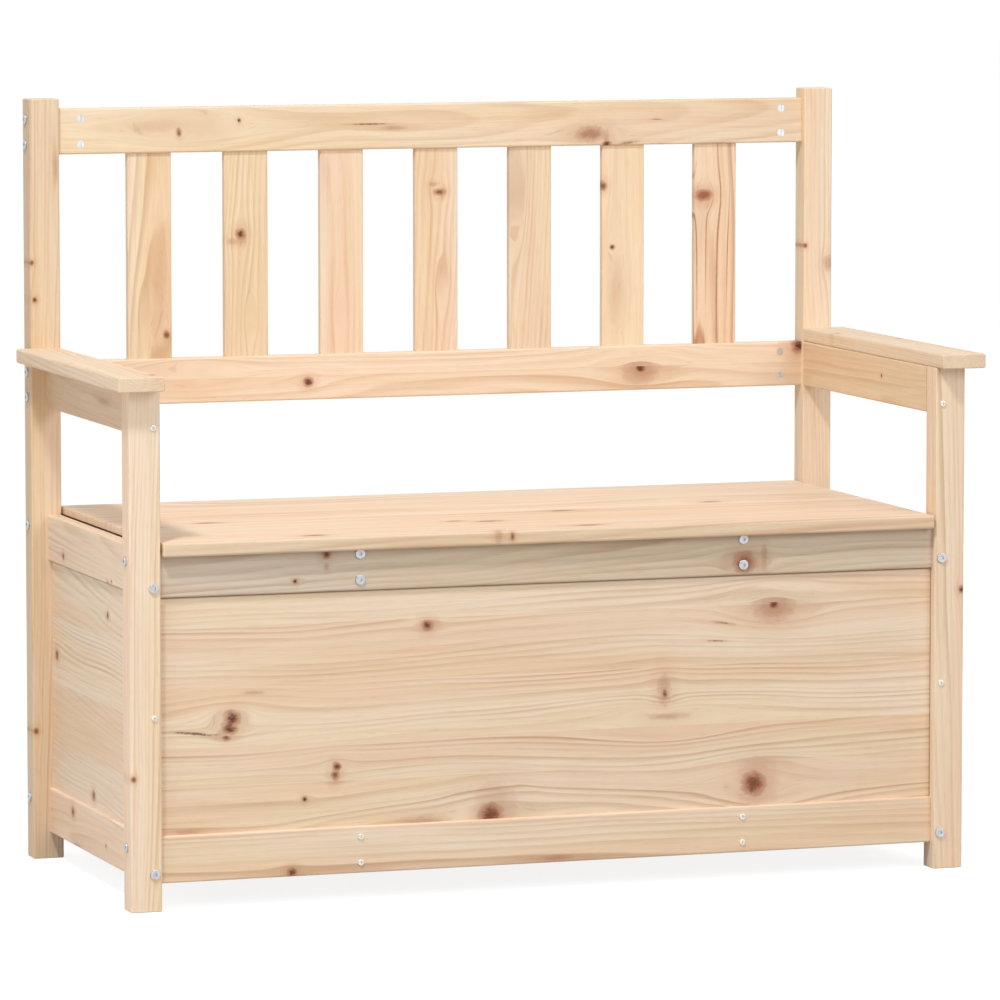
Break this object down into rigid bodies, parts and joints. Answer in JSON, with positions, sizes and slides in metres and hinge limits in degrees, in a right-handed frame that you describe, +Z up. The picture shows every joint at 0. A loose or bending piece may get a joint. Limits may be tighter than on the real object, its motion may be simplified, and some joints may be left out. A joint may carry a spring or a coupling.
{
  "type": "storage bench",
  "caption": "Free-standing pine bench with a slatted back, two arms and a panelled storage box under a hinged seat lid.",
  "frame": {"origin": "on the floor, under the middle of the bench's box", "axes": "+X across the bench to the viewer's right, +Y from the front to the back, +Z up"},
  "size_m": [1.125, 0.5044, 0.965],
  "materials": {
    "pine_frame": "bare planed pine",
    "pine_slat": "bare planed pine",
    "pine_panel": "bare glued pine panel",
    "pine_inner": "bare sawn pine",
    "dowel_wood": "turned hardwood",
    "zinc": "bright zinc plate",
    "hinge_steel": "dull zinc plate"
  },
  "bodies": {
    "frame": {"arm_dowels": "dowel_wood", "arm_rail_left": "pine_frame", "arm_rail_right": "pine_frame", "armrest_left": "pine_frame", "armrest_right": "pine_frame", "back_lower_rail": "pine_frame", "back_slat_1": "pine_slat", "back_slat_2": "pine_slat", "back_slat_3": "pine_slat", "back_slat_4": "pine_slat", "back_slat_5": "pine_slat", "back_slat_6": "pine_slat", "back_slat_7": "pine_slat", "back_top_rail": "pine_frame", "barrel_nuts": "zinc", "bearer_bolts": "zinc", "floor_bearer_left": "pine_inner", "floor_bearer_right": "pine_inner", "floor_board_1": "pine_inner", "floor_board_2": "pine_inner", "floor_board_3": "pine_inner", "floor_board_4": "pine_inner", "floor_cleat_left": "pine_inner", "floor_cleat_right": "pine_inner", "floor_screws": "zinc", "frame_screws": "zinc", "front_bottom_rail": "pine_frame", "front_leg_left": "pine_frame", "front_leg_right": "pine_frame", "front_panel": "pine_panel", "front_top_rail": "pine_frame", "hinge_frame_leaf_left": "hinge_steel", "hinge_frame_leaf_right": "hinge_steel", "hinge_frame_screws": "zinc", "hinge_pin_left": "hinge_steel", "hinge_pin_right": "hinge_steel", "rail_bolts": "zinc", "rear_bottom_rail": "pine_frame", "rear_panel": "pine_panel", "rear_post_left": "pine_frame", "rear_post_right": "pine_frame", "rear_top_rail": "pine_frame", "seat_bearer_left": "pine_inner", "seat_bearer_right": "pine_inner", "side_bottom_rail_left": "pine_frame", "side_bottom_rail_right": "pine_frame", "side_frame_bolts": "zinc", "side_panel_left": "pine_panel", "side_panel_right": "pine_panel", "side_top_rail_left": "pine_frame", "side_top_rail_right": "pine_frame"},
    "lid": {"batten_screws": "zinc", "hinge_lid_leaf_left": "hinge_steel", "hinge_lid_leaf_right": "hinge_steel", "hinge_lid_screws": "zinc", "lid_batten_left": "pine_inner", "lid_batten_middle": "pine_inner", "lid_batten_right": "pine_inner", "lid_lip": "pine_panel", "lid_panel": "pine_panel"}
  },
  "joints": [
    {"name": "lid_hinge", "type": "hinge", "parent": "frame", "child": "lid", "pos_m": [0, 0.24625, 0.43915], "axis": [-1, 0, 0], "range_deg": [0, 77]}
  ]
}
